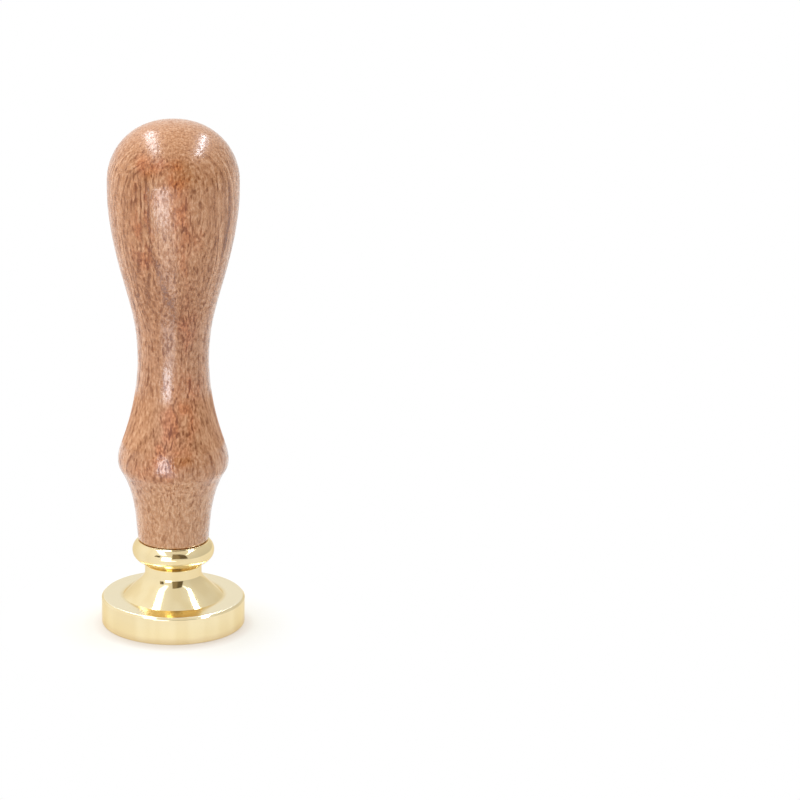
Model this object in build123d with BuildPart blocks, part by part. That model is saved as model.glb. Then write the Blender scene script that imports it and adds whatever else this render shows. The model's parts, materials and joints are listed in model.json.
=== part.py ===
from build123d import *
from math import cos, radians, sin, sqrt, tan
import os

# Wax seal stamp: a turned wooden handle screwed onto a turned brass head by a hanger screw.
# Millimetres, +Z up along the turning axis, with the engraved face of the head at height 0.

# Brass head: disc, cone, neck and rounded collar, with heights above the engraved face
head_diameter = 25.0
head_height = 15.2
disc_thickness = 4.95
disc_edge_bevel = 0.3
cone_foot_radius = 8.7
cone_height = 3.85
neck_radius = 4.9
neck_flare = 0.2
collar_reach = 2.24
collar_round = 1.89

# Engraving, sunk into the face so that the wax shows it raised
engraving_depth = 0.7
engraving_draft = 20.0
face_border = 1.5
dentil_count = 40
dentil_length = 1.3
dentil_width = 0.8
rosette_margin = 0.7
boss_radius = 1.1
petal_count = 8
petal_width = 3.0
sepal_width = 1.5
sepal_length = 2.7

# Hanger screw: a machine thread in the head and a wood thread in the handle
thread_diameter = 6.0
thread_pitch = 1.0
pitch_line_depth = 0.325  # of a pitch, below the crest of a thread
thread_clearance = 0.05
head_engagement = 8.0
screw_end_chamfer = 0.6
wood_engagement = 17.0
gimlet_length = 4.0
gimlet_tip_radius = 0.5

# Drilled holes that take the screw
hole_spare_depth = 1.0
hole_mouth_bevel = 0.5
drill_point_angle = 118.0

# Handle: radii of the corners between its straight tapers, and the height of each stretch
collar_reveal = 1.0
seat_edge_bevel = 0.5
foot_length = 9.1
cove_radius = 6.9
swell_length = 5.35
knuckle_radius = 10.05
fall_length = 16.7
waist_radius = 4.21
rise_length = 25.45
bulb_radius = 11.3
bulb_length = 7.84
shoulder_offset = 1.08
cap_angle = 14.8

# Rounding of each corner: the shares of the stretch below it and of the stretch above it that it takes up
cove_rounding = (0.64, 0.64)
knuckle_rounding = (0.28, 0.11)
waist_rounding = (0.78, 0.48)
bulb_rounding = (0.38, 0.80)

# Sizes that follow from these
disc_radius = head_diameter / 2
cone_top = disc_thickness + cone_height
collar_crest_radius = neck_radius + collar_reach
collar_centre_radius = collar_crest_radius - collar_round
collar_middle = head_height - collar_round
neck_top = collar_middle - sqrt(collar_round**2 - (neck_radius - collar_centre_radius) ** 2)
dentil_ring_radius = disc_radius - face_border - dentil_length / 2
rosette_radius = dentil_ring_radius - dentil_length / 2 - rosette_margin
screw_radius = thread_diameter / 2 - pitch_line_depth * thread_pitch
hole_radius = screw_radius + thread_clearance
hole_mouth_radius = hole_radius + hole_mouth_bevel
drill_point_length = hole_radius / tan(radians(drill_point_angle / 2))
shoulder_radius = bulb_radius - shoulder_offset
cap_offset = shoulder_offset / sin(radians(cap_angle))
cap_radius = shoulder_radius + cap_offset

# Corners of the handle's outline, from its seat on the collar up to where the shoulder of the bulb starts
foot = Vector(collar_crest_radius - collar_reveal, head_height)
cove = Vector(cove_radius, foot.Y + foot_length)
knuckle = Vector(knuckle_radius, cove.Y + swell_length)
waist = Vector(waist_radius, knuckle.Y + fall_length)
bulb = Vector(bulb_radius, waist.Y + rise_length)
shoulder = Vector(bulb_radius, bulb.Y + bulb_length)
cap_centre = Vector(0, shoulder.Y - cap_offset * cos(radians(cap_angle)))


def pointed_petal(inner, outer, width):
    """Petal on the X axis with a point at each end and two even arcs between them."""
    middle = (inner + outer) / 2
    ThreePointArc((inner, 0), (middle, -width / 2), (outer, 0))
    ThreePointArc((outer, 0), (middle, width / 2), (inner, 0))


def rounded_tapers(corners, roundings):
    """Outline through these corners, where each corner but the first and last is rounded by a curve."""
    place = corners[0]
    for below, corner, above, (share_below, share_above) in zip(corners, corners[1:], corners[2:], roundings):
        start = corner + (below - corner) * share_below
        end = corner + (above - corner) * share_above
        Line(place, start)
        Bezier(start, corner, end)
        place = end
    Line(place, corners[-1])


# Motifs of the rosette: a long petal and a short sepal, each lying along X
with BuildSketch() as petal:
    with BuildLine():
        pointed_petal(boss_radius + rosette_margin, rosette_radius, petal_width)
    make_face()
with BuildSketch() as sepal:
    with BuildLine():
        pointed_petal(rosette_radius - sepal_length, rosette_radius, sepal_width)
    make_face()

# Stamp head: turned in one piece from brass, tapped down its axis, its face engraved
with BuildPart() as stamp_head:
    with BuildSketch(Plane.XZ):
        with BuildLine():
            Polyline(
                (collar_centre_radius, head_height),
                (0, head_height),
                (0, 0),
                (disc_radius, 0),
                (disc_radius, disc_thickness),
                (cone_foot_radius, disc_thickness),
                (neck_radius + neck_flare, cone_top),
                (neck_radius, neck_top),
            )
            ThreePointArc(
                (neck_radius, neck_top),
                (collar_crest_radius, collar_middle),
                (collar_centre_radius, head_height),
            )
        make_face()
    revolve(axis=Axis.Z)
    disc_rims = stamp_head.edges().filter_by(lambda edge: edge.is_closed).group_by(SortBy.RADIUS)[-1]
    chamfer(disc_rims, disc_edge_bevel)

    with Locations((0, 0, head_height)):
        CounterSinkHole(
            radius=hole_radius,
            counter_sink_radius=hole_mouth_radius,
            depth=head_engagement + hole_spare_depth,
            counter_sink_angle=90,
        )
    with Locations((0, 0, head_height - head_engagement - hole_spare_depth)):
        Cone(
            bottom_radius=0,
            top_radius=hole_radius,
            height=drill_point_length,
            align=(Align.CENTER, Align.CENTER, Align.MAX),
            mode=Mode.SUBTRACT,
        )

    with BuildSketch():
        with PolarLocations(0, petal_count):
            add(petal.sketch)
        with PolarLocations(0, petal_count, start_angle=180 / petal_count):
            add(sepal.sketch)
        with PolarLocations(dentil_ring_radius, dentil_count):
            Rectangle(dentil_length, dentil_width)
        Circle(boss_radius)
    extrude(amount=engraving_depth, taper=engraving_draft, mode=Mode.SUBTRACT)

# Hanger screw: one end turns into the head, the other stays in the wood of the handle
with BuildPart() as threaded_stud:
    with BuildSketch(Plane.XZ):
        with BuildLine():
            Polyline(
                (0, head_height - head_engagement),
                (screw_radius - screw_end_chamfer, head_height - head_engagement),
                (screw_radius, head_height - head_engagement + screw_end_chamfer),
                (screw_radius, head_height + wood_engagement),
                (gimlet_tip_radius, head_height + wood_engagement + gimlet_length),
                (0, head_height + wood_engagement + gimlet_length),
                close=True,
            )
        make_face()
    revolve(axis=Axis.Z)

# Handle: turned in one piece from wood, with a blind hole up its axis for the screw
with BuildPart() as handle:
    with BuildSketch(Plane.XZ):
        with BuildLine():
            rounded_tapers(
                [foot, cove, knuckle, waist, bulb, shoulder],
                [cove_rounding, knuckle_rounding, waist_rounding, bulb_rounding],
            )
            CenterArc((shoulder_offset, shoulder.Y), shoulder_radius, 0, 90 - cap_angle)
            CenterArc(cap_centre, cap_radius, 90 - cap_angle, cap_angle)
            Polyline((0, cap_centre.Y + cap_radius), (0, head_height), foot)
        make_face()
    revolve(axis=Axis.Z)
    chamfer(handle.faces().sort_by(Axis.Z)[0].edges(), seat_edge_bevel)

    with Locations(Location((0, 0, head_height), (180, 0, 0))):
        CounterSinkHole(
            radius=hole_radius,
            counter_sink_radius=hole_mouth_radius,
            depth=wood_engagement + gimlet_length,
            counter_sink_angle=90,
        )
    with Locations((0, 0, head_height + wood_engagement + gimlet_length)):
        Cone(
            bottom_radius=hole_radius,
            top_radius=0,
            height=drill_point_length,
            align=(Align.CENTER, Align.CENTER, Align.MIN),
            mode=Mode.SUBTRACT,
        )

os.makedirs("parts", exist_ok=True)
for piece, name in ((stamp_head, "stamp_head"), (threaded_stud, "threaded_stud"), (handle, "handle")):
    piece.part.label = name
    export_step(piece.part, f"parts/{name}.step")
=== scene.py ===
import json
import math

import bpy
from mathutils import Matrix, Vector

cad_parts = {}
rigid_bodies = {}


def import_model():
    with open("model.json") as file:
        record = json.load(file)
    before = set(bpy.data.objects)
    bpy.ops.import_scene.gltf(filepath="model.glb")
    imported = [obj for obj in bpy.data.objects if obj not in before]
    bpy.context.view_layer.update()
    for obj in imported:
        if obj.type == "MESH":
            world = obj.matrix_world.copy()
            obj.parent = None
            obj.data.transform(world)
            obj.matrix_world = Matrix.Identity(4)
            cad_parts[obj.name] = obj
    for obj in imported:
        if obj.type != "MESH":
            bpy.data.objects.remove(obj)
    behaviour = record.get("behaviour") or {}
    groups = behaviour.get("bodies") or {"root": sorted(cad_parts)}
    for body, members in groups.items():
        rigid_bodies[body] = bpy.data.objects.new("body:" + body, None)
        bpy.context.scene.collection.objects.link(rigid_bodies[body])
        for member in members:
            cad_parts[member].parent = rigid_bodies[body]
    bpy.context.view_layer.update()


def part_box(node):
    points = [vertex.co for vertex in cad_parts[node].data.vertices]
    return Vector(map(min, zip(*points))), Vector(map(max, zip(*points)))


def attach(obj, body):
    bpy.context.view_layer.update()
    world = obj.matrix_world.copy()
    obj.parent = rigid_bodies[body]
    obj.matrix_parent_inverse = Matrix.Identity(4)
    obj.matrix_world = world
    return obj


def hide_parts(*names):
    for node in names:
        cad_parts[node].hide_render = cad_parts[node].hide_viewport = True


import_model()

# Stamp head: one piece of brass, turned with a rounded collar, a neck, a cone and a thick disc,
# and polished bright. It is tapped down its axis for the screw, and its face is engraved.
mm = 0.001
head_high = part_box("stamp_head")[1]
disc_radius = head_high.x / mm
head_top = head_high.z / mm
disc_top = 4.95
rim_round = 0.42
rim_bevel = 0.38
rim_crest = 0.05
cone_foot_radius = 8.7
bell_radius = 5.3
bell_height = 8.2
bell_reach = (0.75, 1.0)
neck_radius = 4.95
neck_reach = 0.35
crease_height = 9.05
collar_round = 1.89
collar_centre = (5.25, head_top - collar_round)
collar_start, collar_end = 37, -62
collar_slope = math.radians(-collar_end)
cove_reach = (
    collar_centre[0] - neck_radius + collar_round * math.cos(collar_slope)
) / math.sin(collar_slope)
cove_height = (
    collar_centre[1]
    - collar_round * math.sin(collar_slope)
    - cove_reach * math.cos(collar_slope)
)
seat_radius = 6.18
seat_lip = (6.22, 15.02)
collar_top_centre = (3.982, 12.315)
collar_top_round = 3.5
collar_top_start, collar_top_end = 50, 38
bore_radius = 2.52
bore_bottom = 6.0
bore_mouth = 0.7
drill_half_angle = math.radians(59)
crisp_edge = 0.04
eased_edge = 0.12


def rounded(corners, steps=7):
    """Points of an outline through corners of (radius, height), where a corner that also has
    a reach, or one reach back and one ahead, is rounded by a curve that starts that far off."""
    points = []
    for number, (radius, height, *reach) in enumerate(corners):
        corner = Vector((radius, height))
        if not reach:
            points.append(corner)
            continue
        back = (Vector(corners[number - 1][:2]) - corner).normalized() * reach[0]
        ahead = (Vector(corners[number + 1][:2]) - corner).normalized() * reach[-1]
        for step in range(steps + 1):
            share = step / steps
            points.append(corner + back * (1 - share) ** 2 + ahead * share**2)
    return points


def arc(centre, size, start, end, steps):
    """Points on an arc of an outline, with its angles in degrees above the horizontal."""
    angles = [math.radians(start + (end - start) * step / steps) for step in range(steps + 1)]
    radius, height = centre
    return [
        Vector((radius + size * math.cos(angle), height + size * math.sin(angle)))
        for angle in angles
    ]


def draw_line(points):
    """Draws a line through points in mm, in a new mesh or the one being edited, and selects it."""
    if bpy.context.mode == "OBJECT":
        bpy.ops.object.select_all(action="DESELECT")
    bpy.ops.mesh.primitive_plane_add(size=mm, enter_editmode=True)
    bpy.ops.mesh.merge(type="CENTER")
    bpy.ops.transform.translate(value=tuple(Vector(points[0]) * mm))
    for here, there in zip(points, points[1:]):
        step = (Vector(there) - Vector(here)) * mm
        bpy.ops.mesh.extrude_vertices_move(TRANSFORM_OT_translate={"value": tuple(step)})
    bpy.ops.mesh.select_linked()


def close_up():
    """Joins the points that coincide in the mesh being edited and turns its faces outwards."""
    bpy.ops.mesh.select_all(action="SELECT")
    bpy.ops.mesh.remove_doubles(threshold=mm / 1000)
    bpy.ops.mesh.normals_make_consistent(inside=False)


def turn_on_lathe(name, outline, facets=144):
    """New piece with this outline of radii and heights, spun once round the axis."""
    draw_line([(radius, 0, height) for radius, height in outline])
    bpy.ops.mesh.spin(steps=facets, angle=2 * math.pi, center=(0, 0, 0), axis=(0, 0, 1))
    close_up()
    bpy.ops.object.mode_set(mode="OBJECT")
    piece = bpy.context.object
    piece.name = piece.data.name = name
    return piece


def select_points(piece, test):
    """Selects the points of a piece whose places pass the test, and stays in edit mode."""
    bpy.ops.object.mode_set(mode="EDIT")
    bpy.ops.mesh.select_mode(type="VERT")
    bpy.ops.mesh.select_all(action="DESELECT")
    bpy.ops.object.mode_set(mode="OBJECT")
    for point in piece.data.vertices:
        point.select = test(point.co / mm)
    bpy.ops.object.mode_set(mode="EDIT")


def apply_tool(piece, tool, operation):
    """Cuts, joins or trims a piece with another, which is used up."""
    bpy.ops.object.select_all(action="DESELECT")
    piece.select_set(True)
    bpy.context.view_layer.objects.active = piece
    cut = piece.modifiers.new("cut", "BOOLEAN")
    cut.solver = "EXACT"
    cut.operation = operation
    cut.object = tool
    bpy.ops.object.modifier_apply(modifier=cut.name)
    bpy.data.objects.remove(tool)


def wind_thread(name, crest, root, pitch, bottom, top, form, facets=64):
    """New solid right-handed thread: one pitch of its form, given as shares of the pitch and of
    the depth, is wound up the axis, and both ends are trimmed flat."""
    start = (math.floor(bottom / pitch) - 2) * pitch
    draw_line([(root + (crest - root) * out, 0, start + pitch * up) for up, out in form])
    bpy.ops.object.mode_set(mode="OBJECT")
    piece = bpy.context.object
    piece.name = piece.data.name = name
    winding = piece.modifiers.new("winding", "SCREW")
    winding.screw_offset = pitch * mm
    winding.iterations = math.ceil((top - start) / pitch) + 2
    winding.steps = winding.render_steps = facets
    bpy.ops.object.modifier_apply(modifier=winding.name)
    bpy.ops.object.mode_set(mode="EDIT")
    close_up()
    for height, side in ((bottom, "clear_inner"), (top, "clear_outer")):
        bpy.ops.mesh.select_all(action="SELECT")
        bpy.ops.mesh.bisect(
            plane_co=(0, 0, height * mm),
            plane_no=(0, 0, 1),
            threshold=mm / 10000,
            use_fill=True,
            **{side: True},
        )
    close_up()
    bpy.ops.object.mode_set(mode="OBJECT")
    return piece


# The turned outline runs from the drill point of the bore, over the collar, to the rim of the face,
# which is then filled with one flat face
bore_outline = rounded(
    [
        (0, bore_bottom - bore_radius / math.tan(drill_half_angle)),
        (bore_radius, bore_bottom),
        (bore_radius, head_top - bore_mouth),
        (bore_radius + bore_mouth, head_top, eased_edge),
        (seat_radius, head_top, crisp_edge),
        seat_lip,
    ]
)
collar_top = arc(collar_top_centre, collar_top_round, collar_top_start, collar_top_end, 10)
collar = arc(collar_centre, collar_round, collar_start, collar_end, 30)
lower_outline = rounded(
    [
        collar[-1],
        (neck_radius, cove_height, cove_reach, neck_reach),
        (neck_radius, crease_height, eased_edge),
        (bell_radius, bell_height, *bell_reach),
        (cone_foot_radius, disc_top),
        (disc_radius - rim_bevel, disc_top, crisp_edge),
        (disc_radius, disc_top - rim_bevel, rim_crest),
        (disc_radius, 0, rim_round),
        (0, 0),
    ],
    10,
)
stamp_head = turn_on_lathe(
    "brass_stamp_head", bore_outline + collar_top + collar + lower_outline[1:-1]
)
select_points(stamp_head, lambda place: place.z < 0.001)
bpy.ops.mesh.edge_face_add()
close_up()
bpy.ops.object.mode_set(mode="OBJECT")

# Engraving: pockets with sloping walls, in a rosette of petals and sepals inside a dentil border
pocket_depth = 0.7
pocket_draft = math.radians(20)
cutter_stub = 0.2
boss_radius = 1.1
dentil_length, dentil_width = 1.3, 0.8
dentil_ring_radius = 10.35
dentil_count = 40
petal_count = 8
rosette_radius = 9.0
petal_start, petal_width = 1.8, 3.0
sepal_start, sepal_width = 6.3, 1.5


def repeat_round(count):
    """Copies what is selected to even places round the axis."""
    bpy.ops.mesh.spin(
        dupli=True,
        steps=count - 1,
        angle=2 * math.pi * (count - 1) / count,
        center=(0, 0, 0),
        axis=(0, 0, 1),
    )


def draw_petal(start, end, width, turn, steps=10):
    """Draws a petal with a point at each end and two even arcs, and repeats it round the axis."""
    half_length = (end - start) / 2
    bow = 2 * math.atan(width / 2 / half_length)
    bow_radius = half_length / math.sin(bow)
    side = []
    for step in range(steps):
        angle = bow * (2 * step / steps - 1)
        along = half_length + bow_radius * math.sin(angle)
        side.append((start + along, bow_radius * (math.cos(angle) - math.cos(bow))))
    other_side = [(start + end - along, -across) for along, across in side]
    draw_line([(along, across, 0) for along, across in side + other_side])
    bpy.ops.mesh.edge_face_add()
    bpy.ops.transform.rotate(value=turn, orient_axis="Z", center_override=(0, 0, 0))
    repeat_round(petal_count)


bpy.ops.object.select_all(action="DESELECT")
bpy.ops.mesh.primitive_circle_add(
    vertices=32, radius=boss_radius * mm, fill_type="NGON", enter_editmode=True
)
engraving = bpy.context.object
bpy.ops.mesh.primitive_plane_add(size=mm)
bpy.ops.transform.resize(value=(dentil_length, dentil_width, 1))
bpy.ops.transform.translate(value=(dentil_ring_radius * mm, 0, 0))
repeat_round(dentil_count)
draw_petal(petal_start, rosette_radius, petal_width, turn=0)
draw_petal(sepal_start, rosette_radius, sepal_width, turn=math.pi / petal_count)
bpy.ops.mesh.select_all(action="SELECT")
bpy.ops.mesh.extrude_region_move(TRANSFORM_OT_translate={"value": (0, 0, -cutter_stub * mm)})
close_up()
select_points(engraving, lambda place: place.z > -cutter_stub / 2)
bpy.ops.mesh.inset(
    thickness=pocket_depth * math.tan(pocket_draft) * mm, depth=pocket_depth * mm
)
bpy.ops.object.mode_set(mode="OBJECT")
apply_tool(stamp_head, engraving, "DIFFERENCE")

# Thread of the bore: a metric 60 degree form, 6 mm across with a pitch of 1 mm
metric_form = [(0, 0), (0.25, 0), (0.5625, 1), (0.6875, 1), (1, 0)]
thread_pitch = 1.0
tap = wind_thread(
    "tap",
    crest=3.04,
    root=2.46,
    pitch=thread_pitch,
    bottom=bore_bottom + 0.4,
    top=head_top + 0.5,
    form=metric_form,
)
apply_tool(stamp_head, tap, "DIFFERENCE")
bpy.ops.object.shade_smooth_by_angle(angle=math.radians(32))


class Tone:
    """An output socket of a node. Arithmetic on it adds Math nodes to the same node tree."""

    def __init__(self, socket):
        self.socket = socket

    def node(self, kind, settings, sockets, output=0):
        """Adds a node of this kind with these settings, and with these values or links."""
        tree = self.socket.id_data
        made = tree.nodes.new("ShaderNode" + kind)
        for name, value in settings.items():
            if name == "stops":
                ramp = made.color_ramp
                while len(ramp.elements) < len(value):
                    ramp.elements.new(0.5)
                for element, (position, shade) in zip(ramp.elements, value):
                    element.position = position
                    element.color = shade
            else:
                setattr(made, name, value)
        for name, value in sockets.items():
            if isinstance(value, Tone):
                tree.links.new(value.socket, made.inputs[name])
            else:
                made.inputs[name].default_value = value
        return Tone(made.outputs[output]) if made.outputs else None

    def other(self, output):
        """Another output of the same node."""
        return Tone(self.socket.node.outputs[output])

    def maths(self, operation, first, second=0.0):
        """A Math node on one or two values."""
        return self.node("Math", {"operation": operation}, {0: first, 1: second})

    def __add__(self, value):
        return self.maths("ADD", self, value)

    def __radd__(self, value):
        return self.maths("ADD", value, self)

    def __sub__(self, value):
        return self.maths("SUBTRACT", self, value)

    def __rsub__(self, value):
        return self.maths("SUBTRACT", value, self)

    def __mul__(self, value):
        return self.maths("MULTIPLY", self, value)

    def __rmul__(self, value):
        return self.maths("MULTIPLY", value, self)

    def __truediv__(self, value):
        return self.maths("DIVIDE", self, value)

    def __rtruediv__(self, value):
        return self.maths("DIVIDE", value, self)


def new_finish(name):
    """New material, and the place on its piece in mm, from which its pattern starts."""
    material = bpy.data.materials.new(name)
    material.use_nodes = True
    tree = material.node_tree
    tree.nodes.clear()
    place = Tone(tree.nodes.new("ShaderNodeTexCoord").outputs["Object"])
    return material, place.node("VectorMath", {"operation": "SCALE"}, {0: place, "Scale": 1 / mm})


def from_axis(place, shift=(0, 0, 0)):
    """Distance of a place from the turning axis, after a shift sideways."""
    settings = {"operation": "MULTIPLY_ADD"}
    flat_place = place.node("VectorMath", settings, {0: place, 1: (1, 1, 0), 2: shift})
    return place.node("VectorMath", {"operation": "LENGTH"}, {0: flat_place}, "Value")


def noise(place, size, detail=2.0, roughness=0.5):
    """Noise whose lumps have these three sizes in mm."""
    scaled = place.node(
        "VectorMath", {"operation": "MULTIPLY"}, {0: place, 1: [1 / length for length in size]}
    )
    sockets = {"Vector": scaled, "Scale": 1.0, "Detail": detail, "Roughness": roughness}
    return place.node("TexNoise", {}, sockets)


def noise_along(value, detail):
    """Noise that changes along one value alone."""
    sockets = {"W": value, "Scale": 1.0, "Detail": detail}
    return value.node("TexNoise", {"noise_dimensions": "1D"}, sockets)


def between(value, low, high):
    """Smooth step of a value, from 0 at low to 1 at high."""
    sockets = {0: value, 1: low, 2: high}
    return value.node("MapRange", {"interpolation_type": "SMOOTHSTEP"}, sockets)


def within(value, rise, fall):
    """1 along a stretch of a value, which comes in over the rise and goes out over the fall."""
    return between(value, *rise) * (1 - between(value, *fall))


def tint(share, first, second, blend="MIX"):
    """Colour that goes from the first to the second, or to their product, by this share."""
    settings = {"data_type": "RGBA", "blend_type": blend}
    return share.node("Mix", settings, {0: share, 6: first, 7: second}, 2)


def relief(pattern, depth, strength, over=None):
    """Bumps of a pattern, this deep in mm, that may lie over other bumps."""
    sockets = {"Strength": strength, "Distance": depth * mm, "Height": pattern}
    if over:
        sockets["Normal"] = over
    return pattern.node("Bump", {}, sockets)


def finish_surface(place, **sockets):
    """Ends a material in a surface with these values or links."""
    named = {name.replace("_", " "): value for name, value in sockets.items()}
    surface = place.node("BsdfPrincipled", {}, named)
    place.node("OutputMaterial", {}, {"Surface": surface})


def colour(red, green, blue):
    """Linear colour of a screen colour from 0 to 255."""
    shares = [channel / 255 for channel in (red, green, blue)]
    linear = [s / 12.92 if s <= 0.04045 else ((s + 0.055) / 1.055) ** 2.4 for s in shares]
    return (*linear, 1)


def dress(piece, material):
    """Gives a piece this material alone."""
    piece.data.materials.clear()
    piece.data.materials.append(material)


# Polished brass: faint turning marks run round the axis, and buffing leaves a slight waviness. The
# top of the disc is only faced, so it is duller, and the hollow under the collar is dull. The
# disc's top and, faintly, the rim's side are painted paler, a painted reflection of the bright
# light they mirror.
polished_brass, place = new_finish("polished_brass")
out = from_axis(place)
height = place.node("SeparateXYZ", {}, {0: place}, "Z")
marks_out, marks_up = 9, 7
turning = noise_along(out * marks_out + height * marks_up, 3.0)
waviness = noise(place, (5, 5, 5), 1.0)
buffing = noise(place, (1.6, 1.6, 0.7), 3.0)
painted_reflection_band = noise(place, (3.2, 3.2, 40), 1.0)
above_rim = between(height, disc_top - 0.12, disc_top - 0.02)
faced = above_rim * between(out, cone_foot_radius - 0.1, cone_foot_radius + 0.2)
# Painted reflection: a paler colour on the disc's top and, faintly, on the rim's side
painted_pale_top = above_rim * between(out, cone_foot_radius - 0.3, cone_foot_radius + 0.9)
painted_pale_rim = (1 - above_rim) * between(out, disc_radius - 0.3, disc_radius - 0.1) * 0.15
sheltered = within(height, rise=(11.0, 11.5), fall=(12.7, 13.2))
# Painted reflection: faint vertical bands of paler and deeper gold stand in for bands of
# surroundings mirrored in the brass
polished_tone = tint(
    between(painted_reflection_band, 0.36, 0.64), colour(243, 225, 180), colour(238, 217, 168)
)
finish_surface(
    place,
    Base_Color=tint(painted_pale_top + painted_pale_rim, polished_tone, colour(249, 240, 213)),
    Metallic=1.0,
    Roughness=0.05 + buffing * 0.06 + faced * 0.11 + sheltered * 0.1,
    Specular_Tint=(0.92, 0.84, 0.68, 1),
    Normal=relief(waviness, 1.0, 0.06, over=relief(turning, 0.1, 0.02)),
)
dress(stamp_head, polished_brass)
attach(stamp_head, "head")
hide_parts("stamp_head")

# Hanger screw: zinc plated steel with rolled threads. Its machine thread turns into the head,
# and its coarse wood thread, which ends in a point, is driven up the handle for good.
screw_low, screw_high = (corner.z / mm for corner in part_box("threaded_stud"))
wood_form = [(0, 0), (0.5, 0), (0.72, 1), (0.8, 1), (1, 0)]
wood_pitch = 2.0
wood_start = 16.3
shank_radius = 2.62
blank_radius = 3.2
blank_bevel = 1.1
blank_margin = 0.02
point_length = 4.5
point_radius = 0.4
screw_facets = 64
hanger_screw = wind_thread(
    "hanger_screw",
    crest=2.98,
    root=2.4,
    pitch=thread_pitch,
    bottom=screw_low,
    top=head_top + 0.3,
    form=metric_form,
)
shank = turn_on_lathe(
    "shank",
    rounded(
        [
            (0, head_top),
            (shank_radius, head_top, 0.1),
            (shank_radius, wood_start + 0.6, 0.4),
            (0, wood_start + 0.9),
        ]
    ),
    screw_facets,
)
apply_tool(hanger_screw, shank, "UNION")
wood_thread = wind_thread(
    "wood_thread",
    crest=2.86,
    root=2.0,
    pitch=wood_pitch,
    bottom=wood_start,
    top=screw_high,
    form=wood_form,
)
apply_tool(hanger_screw, wood_thread, "UNION")

# The threads are trimmed to a blank with a bevelled start and a long point
point_end = screw_high - 0.1
blank = turn_on_lathe(
    "blank",
    rounded(
        [
            (0, screw_low + blank_margin),
            (blank_radius - blank_bevel, screw_low + blank_margin),
            (blank_radius, screw_low + blank_margin + blank_bevel),
            (blank_radius, point_end - point_length),
            (point_radius, point_end, 0.3),
            (0, screw_high - blank_margin),
        ]
    ),
    screw_facets,
)
apply_tool(hanger_screw, blank, "INTERSECT")
bpy.ops.object.shade_smooth_by_angle(angle=math.radians(25))

# Zinc plate: finely speckled, and brighter where rolling has burnished the crests
plated_steel, place = new_finish("plated_steel")
plating = noise(place, (0.5, 0.5, 0.5), 4.0)
rolled_crest = between(from_axis(place), 2.5, 2.95)
finish_surface(
    place,
    Base_Color=tint(plating, colour(196, 198, 200), colour(222, 222, 218)),
    Metallic=1.0,
    Roughness=0.34 - rolled_crest * 0.14 + plating * 0.1,
    Normal=relief(plating, 0.05, 0.1),
)
dress(hanger_screw, plated_steel)
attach(hanger_screw, "screw")
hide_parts("threaded_stud")

# Handle: one piece of light reddish brown wood, turned with a foot, a knuckle, a slim waist and
# a bulb for the palm, drilled up its axis, and finished with a thin coat of clear lacquer.
handle_low, handle_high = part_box("handle")
bulb_radius = handle_high.x / mm
handle_foot = handle_low.z / mm
handle_top = handle_high.z / mm
pilot_radius = 2.06
pilot_point = 1.2
shank_hole_radius = 2.72
hole_mouth = 0.5
shoulder_height = 79.64
shoulder_offset = 1.08
shoulder_radius = bulb_radius - shoulder_offset
cap_angle = 14.8
cap_radius = shoulder_radius + shoulder_offset / math.sin(math.radians(cap_angle))

# Corners of the turned outline: radius, height, and how far the rounding reaches down and up
foot_edge = (6.14, handle_foot, 0.5, 0.85)
foot_hollow = (6.9, 24.3, 5.84, 3.97)
knuckle = (10.05, 29.65, 1.74, 2.8)
waist = (4.21, 46.35, 13.8, 12.68)
bulb = (bulb_radius, 71.8, 10.04, 6.27)
handle_outline = rounded(
    [
        (0, screw_high + pilot_point),
        (pilot_radius, screw_high),
        (pilot_radius, wood_start + 1.4),
        (shank_hole_radius, wood_start + 1.0),
        (shank_hole_radius, handle_foot + hole_mouth),
        (shank_hole_radius + hole_mouth, handle_foot),
        foot_edge,
        foot_hollow,
        knuckle,
        waist,
        bulb,
        (bulb_radius, shoulder_height),
    ],
    16,
)
shoulder = arc((shoulder_offset, shoulder_height), shoulder_radius, 0, 90 - cap_angle, 24)
cap = arc((0, handle_top - cap_radius), cap_radius, 90 - cap_angle, 90, 8)
wooden_handle = turn_on_lathe("wooden_handle", handle_outline + shoulder + cap)
thread_in_wood = wind_thread(
    "thread_in_wood",
    crest=2.9,
    root=1.96,
    pitch=wood_pitch,
    bottom=wood_start + 0.2,
    top=screw_high - 0.5,
    form=wood_form,
)
apply_tool(wooden_handle, thread_in_wood, "DIFFERENCE")
bpy.ops.object.shade_smooth_by_angle(angle=math.radians(32))


def distance(value):
    """How far a value is from 0, on either side."""
    return value.maths("ABSOLUTE", value)


def line_distance(value, spacing):
    """How far a value is from the nearest of a row of lines with this spacing."""
    return value.maths("PINGPONG", value, spacing / 2)


def near(value, close, far):
    """1 up to the close value, and 0 from the far one on."""
    return 1 - between(value, close, far)


def swing(pattern):
    """A noise that swings to both sides of 0."""
    return pattern - 0.5


# Lacquered wood: the trunk's growth layers lie across the piece, so that they show as long streaks
# at its sides. Everything sways as wood does, and all sizes and heights here are in mm.
lacquered_wood, place = new_finish("lacquered_wood")
sway = noise(place, (8, 8, 24), 2.0).other("Color")
swayed = place.node(
    "VectorMath", {"operation": "MULTIPLY_ADD"}, {0: sway, 1: (3.0, 3.0, 5.0), 2: place}
)
across = place.node("SeparateXYZ", {}, {0: place}, "X")
height = across.other("Z")
swayed_across = place.node("SeparateXYZ", {}, {0: swayed}, "X")
swayed_depth = swayed_across.other("Y")
swayed_height = swayed_across.other("Z")
layer_lean, layer_turn = 0.13, 0.05
growth = swayed_depth + swayed_height * layer_lean + swayed_across * layer_turn
layer = noise_along(growth, 1.0)
layer_edge = near(line_distance(growth - 1.5, 2.6), 0.03, 0.14)
fleck = noise(swayed, (0.38, 0.38, 0.8), 1.0)
fibre = noise(swayed, (0.36, 0.36, 9), 2.0, 0.6)
ribbon = noise(swayed, (0.6, 0.6, 26), 1.0)
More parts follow.
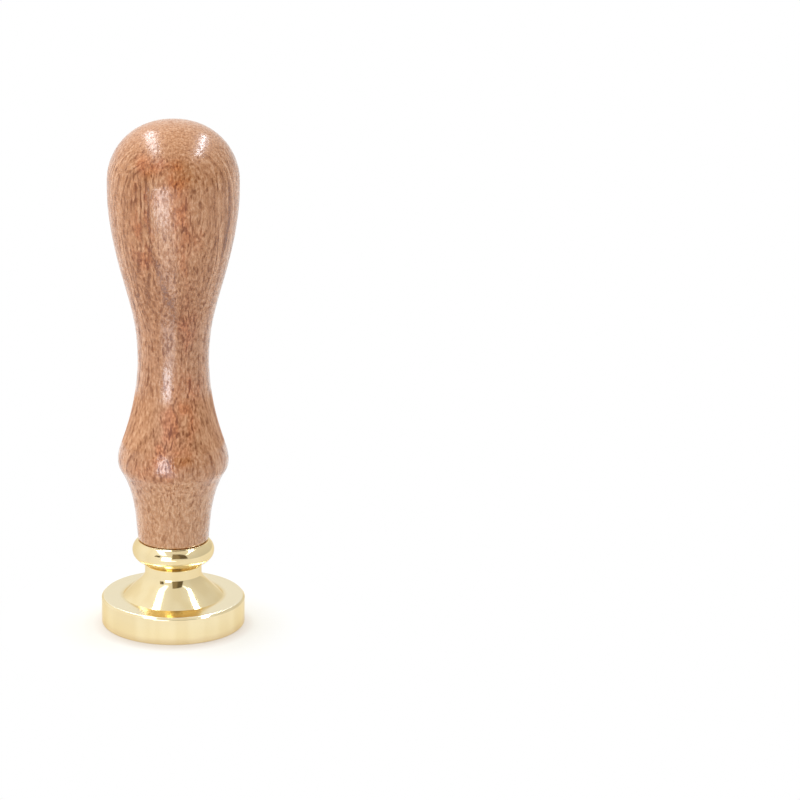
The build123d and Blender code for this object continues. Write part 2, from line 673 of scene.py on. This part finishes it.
blotch = noise(swayed, (1.5, 1.5, 3), 1.0)
patch = noise(place, (4, 4, 8), 2.0)
pore = between(noise(swayed, (0.45, 0.45, 2.2), 0.0), 0.6, 0.72)

# Dark lines of the bulb, broken by the flecks: one slants across its front, one bends along its
# right side, and a few waver down its left side, along a redder vein
slant, slant_place = 0.347, 22.6
from_slant = distance(swayed_across + swayed_height * slant - slant_place + swing(blotch) * 2.4)
slanting_line = (
    near(from_slant, 0.1, 0.8)
    * between(fleck, 0.4, 0.62)
    * within(height, rise=(55, 60), fall=(73, 77))
)
bend_place, bend_height, bend = 9.5, 77, 0.0156
above_bend = height - bend_height
curved_line = (
    near(distance(across - bend_place + above_bend * above_bend * bend), 0.06, 0.3)
    * between(fleck, 0.3, 0.55)
    * within(height, rise=(66, 70), fall=(80, 82))
)
from_left_vein = distance(across + 5.2)
left_vein = (
    near(from_left_vein, 0.6, 2.6)
    * between(blotch, 0.36, 0.6)
    * within(height, rise=(64, 68), fall=(79, 82))
)
left_lines = (
    near(line_distance(swayed_across + swing(blotch) * 1.6, 1.5), 0.05, 0.32)
    * near(from_left_vein, 1.2, 2.6)
    * between(fleck, 0.32, 0.56)
    * within(height, rise=(57, 62), fall=(82, 85))
)

# Redder heartwood: a vein that wanders from side to side up the handle, wide at the knuckle and
# the bulb and narrow between them. The foot is paler sapwood.
vein_start, vein_turn = 34, 0.0604
vein_phase = (height - vein_start) * vein_turn
vein_place = vein_phase.maths("SINE", vein_phase) * 4.2 - height * 0.027
vein_swell = vein_phase.maths("COSINE", vein_phase * 2)
vein_width = vein_swell * 1.2 + between(height, 62, 72) * 1.2 + 4.6
from_vein = distance(across - vein_place) / vein_width
main_vein = between(
    swing(patch) * 2.6 - from_vein + vein_swell * 0.32, -0.6, 0.4
) * within(height, rise=(27, 31), fall=(84.5, 87))
heartwood = main_vein + left_vein * 0.7
sapwood = near(height + swing(patch) * 14, 22, 29)

# Grain: how light the wood is, darkened by a painted shade on the front from the waist up to the
# bulb.
# The layers show where they are cut edge on, and not on the crown.
middle_tone = 0.52
crown = between(height, 83, 88)
bulb_only = between(height, 52, 62)
edge_on = between(distance(across), 2.5, 7.0) * (1 - crown)
layers = swing(layer) * (edge_on * 0.85 + 0.2) * (1 - sapwood * 0.6)
flecks = swing(fleck) * (0.9 + heartwood * 0.7 - sapwood * 0.1 - edge_on * 0.3)
fibres = swing(fibre) * (0.7 - heartwood * 0.4 - sapwood * 0.2 - edge_on * 0.15)
ribbons = swing(ribbon) * edge_on * bulb_only * 0.6
pores = pore * (0.26 + heartwood * 0.14 - sapwood * 0.1) * (1 - crown * 0.5)
layer_edges = layer_edge * edge_on * between(patch, 0.42, 0.52) * (bulb_only * 0.2 + 0.2)
dark_lines = slanting_line * 0.58 + curved_line * 0.75 + left_lines * 0.38 + left_vein * 0.1
# Painted shade: the front from the waist up to the bulb is darkened, as if less light fell there
painted_front_shade = (1 - edge_on) * within(height, rise=(43, 58), fall=(63, 70)) * 0.15
grain = (
    middle_tone
    + layers
    + flecks
    + fibres
    + ribbons
    - pores
    - layer_edges
    - dark_lines
    - painted_front_shade
)
ground = place.node(
    "ValToRGB",
    {
        "stops": [
            (0.08, colour(132, 76, 34)),
            (0.5, colour(186, 131, 90)),
            (1.0, colour(226, 180, 144)),
        ]
    },
    {0: grain},
)
heart_tint = (0.98, 0.72, 0.53, 1)
sap_tint = (1.05, 1.13, 1.17, 1)
redness = heartwood * (between(blotch, 0.4, 0.62) * 0.6 + 0.6)
reddened = tint(redness, ground, heart_tint, "MULTIPLY")

# Lacquer: thin over pores and between flecks, dull above the knuckle, where the grain is torn, and
# on the palm's bulb, and brightest on the waist, the knuckle and the foot
torn_grain = within(height, rise=(32.6, 33.6), fall=(41.2, 43))
handled = within(height, rise=(42, 44), fall=(54, 58)) + near(height, 32.4, 33.4)
palm_wear = within(height, rise=(63, 72), fall=(81, 84))
gloss = (
    between(fleck + handled * 0.06, 0.36, 0.56)
    * (1 - pore * 0.6)
    * (1 - torn_grain * 0.85)
    * (1 - palm_wear * 0.35)
    * (1 - crown * 0.3)
)
grain_height = (fleck + fibre * 0.5) * (1 - crown * 0.75)
finish_surface(
    place,
    Base_Color=tint(sapwood, reddened, sap_tint, "MULTIPLY"),
    Roughness=0.32 - gloss * (0.14 + handled * 0.04) + torn_grain * 0.28,
    Normal=relief(grain_height, 0.05, 1.0),
    Coat_Weight=gloss * (0.6 + handled * 0.25),
    Coat_Roughness=0.18,
)
dress(wooden_handle, lacquered_wood)
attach(wooden_handle, "handle")
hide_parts("handle")

# Setting: a white table in white surroundings, under two long lamps and two weaker strips. A small
# bright card and a pale sheet in front, and two dark cloths, are there for the brass and the
# lacquer to mirror.
table_size = 6
bpy.ops.object.select_all(action="DESELECT")
bpy.ops.mesh.primitive_plane_add(size=table_size)
floor = bpy.context.object
floor.name = "floor"


def in_sight(rays):
    """1 for the rays by which the camera sees a thing itself, also mirrored or through glass."""
    return rays + rays.other("Is Glossy Ray") + rays.other("Is Transmission Ray")


# White table: it glows white to the camera, and keeps a soft shadow at the disc. Close to the disc
# its glow is painted a darker cream, a painted shadow warmed by painted light from the brass.
white_table, place = new_finish("white_table")
seen = in_sight(place.node("LightPath", {}, {}, "Is Camera Ray"))
lit = place.node("BsdfDiffuse", {}, {"Color": (0.9, 0.9, 0.9, 1)})
from_stamp = from_axis(place, shift=(0, 1.5, 0))
# Painted shadow: the glow turns a darker, warmer cream close to the disc
painted_shadow_start, painted_shadow_width = 12.0, 12.0
painted_warm_shadow = place.node(
    "ValToRGB",
    {
        "stops": [
            (0.0, (0.78, 0.68, 0.58, 1)),
            (0.09, (0.87, 0.79, 0.71, 1)),
            (0.18, (0.955, 0.92, 0.84, 1)),
            (0.32, (0.97, 0.945, 0.875, 1)),
            (0.65, (0.99, 0.985, 0.96, 1)),
            (1.0, (1, 1, 1, 1)),
        ]
    },
    {0: (from_stamp - painted_shadow_start) / painted_shadow_width},
)
glow = place.node("Emission", {}, {"Color": painted_warm_shadow, "Strength": 1.0})
shadow_share = near(from_stamp, 14, 32) * 0.35
shown = place.node("MixShader", {}, {0: shadow_share, 1: glow, 2: lit})
table_surface = place.node("MixShader", {}, {0: seen, 1: lit, 2: shown})
place.node("OutputMaterial", {}, {"Surface": table_surface})
dress(floor, white_table)

# White surroundings: their soft warm light comes more from the left, and what the brass mirrors
# of them is whitest on the left and a little grey on the right
surroundings = bpy.data.worlds.new("surroundings")
surroundings.use_nodes = True
surroundings.node_tree.nodes.clear()
rays = Tone(surroundings.node_tree.nodes.new("ShaderNodeLightPath").outputs["Is Camera Ray"])
seen = in_sight(rays)
direction = rays.node("TexCoord", {}, {}, "Generated")
sideways = rays.node("SeparateXYZ", {}, {0: direction}, "X")
upward = sideways.other("Z")
soft_light = 0.68 - sideways * 0.55
mirrored = (
    0.93
    + between(0 - sideways, 0.05, 0.7) * (upward * 0.16 + 0.06)
    - between(sideways, 0, 1) * (0.23 - upward * 0.14)
    - upward * 0.06
)
warmth = tint(seen, (1.1, 1.0, 0.88, 1), (1, 1, 1, 1))
sky = rays.node(
    "Background", {}, {"Color": warmth, "Strength": soft_light + seen * (mirrored - soft_light)}
)
rays.node("OutputWorld", {}, {"Surface": sky})
bpy.context.scene.world = surroundings


def hang_lamp(name, centre, size, radiance, aim, tone=(0.88, 1.0, 1.12)):
    """Rectangular lamp of this radiance, turned to face a point, out of the camera's sight."""
    bpy.ops.object.light_add(type="AREA", location=centre)
    lamp = bpy.context.object
    lamp.name = name
    lamp.rotation_mode = "QUATERNION"
    lamp.rotation_quaternion = (Vector(aim) - Vector(centre)).to_track_quat("-Z", "Y")
    lamp.data.shape = "RECTANGLE"
    lamp.data.size, lamp.data.size_y = size
    lamp.data.energy = radiance * math.pi * size[0] * size[1]
    lamp.data.color = tone
    lamp.visible_camera = False
    return lamp


for name, (x, y, z), size, radiance in (
    ("left_lamp", (-0.4, 0.35, 0.9), (0.2, 1.1), 8.3),
    ("right_lamp", (0.58, 0.35, 0.9), (0.09, 1.1), 22.5),
    ("left_strip", (-0.44, -0.48, 0.9), (0.26, 0.56), 1.4),
    ("right_strip", (0.58, -0.4, 0.9), (0.085, 0.4), 1.4),
):
    hang_lamp(name, (x, y, z), size, radiance, aim=(x, y, 0))
front_card = hang_lamp(
    "front_card",
    centre=(-0.053, -0.15, 0.043),
    size=(0.068, 0.085),
    radiance=5.7,
    aim=(0, 0, 0.043),
    tone=(0.82, 1.0, 1.14),
)
near_sheet = hang_lamp(
    "near_sheet",
    centre=(-0.02, -0.13, 0.001),
    size=(0.06, 0.14),
    radiance=1.5,
    aim=(-0.02, -0.13, 1),
)
front_card.visible_diffuse = False
near_sheet.visible_diffuse = False

# Dark cloths: one hangs in front, above and to the right, and one to the left. They have a faint
# painted glow, warm and weaker towards the right, in place of the little light a dark cloth gives
# back.
dark_fabric, place = new_finish("dark_fabric")
sideways = place.node("SeparateXYZ", {}, {0: place}, "X")
# Painted glow: warm, and weaker towards each cloth's right side
painted_fabric_glow = tint(between(sideways, -160, 60), (0.3, 0.246, 0.165, 1), (0.14, 0.1148, 0.077, 1))
glow = place.node("Emission", {}, {"Color": painted_fabric_glow, "Strength": 1.0})
place.node("OutputMaterial", {}, {"Surface": glow})
for name, centre, size, turn in (
    ("dark_cloth", (0.14, -0.36, 0.375), (0.33, 0.57), 0),
    ("dark_drape", (-0.316, -0.288, 0.26), (0.12, 0.16), -48),
):
    bpy.ops.object.select_all(action="DESELECT")
    bpy.ops.mesh.primitive_plane_add(
        size=1, location=centre, rotation=(math.radians(90), 0, math.radians(turn))
    )
    cloth = bpy.context.object
    cloth.name = name
    cloth.scale = (*size, 1)
    dress(cloth, dark_fabric)
    cloth.visible_camera = False
    cloth.visible_diffuse = False
    cloth.visible_shadow = False
    cloth.visible_transmission = False

# Camera: a long lens in front of the stamp and above it, dipped towards it and turned so that the
# stamp stands left of the middle of the picture.
camera_dip, camera_turn = 17.604, 2.887
bpy.ops.object.camera_add(location=(0, -0.74, 0.27529))
camera = bpy.context.object
camera.rotation_mode = "YXZ"
camera.rotation_euler = (math.radians(90 - camera_dip), math.radians(-camera_turn), 0)
camera.data.sensor_width = 36
camera.data.lens = 202.26
bpy.context.scene.camera = camera
bpy.context.scene.view_settings.view_transform = "Standard"
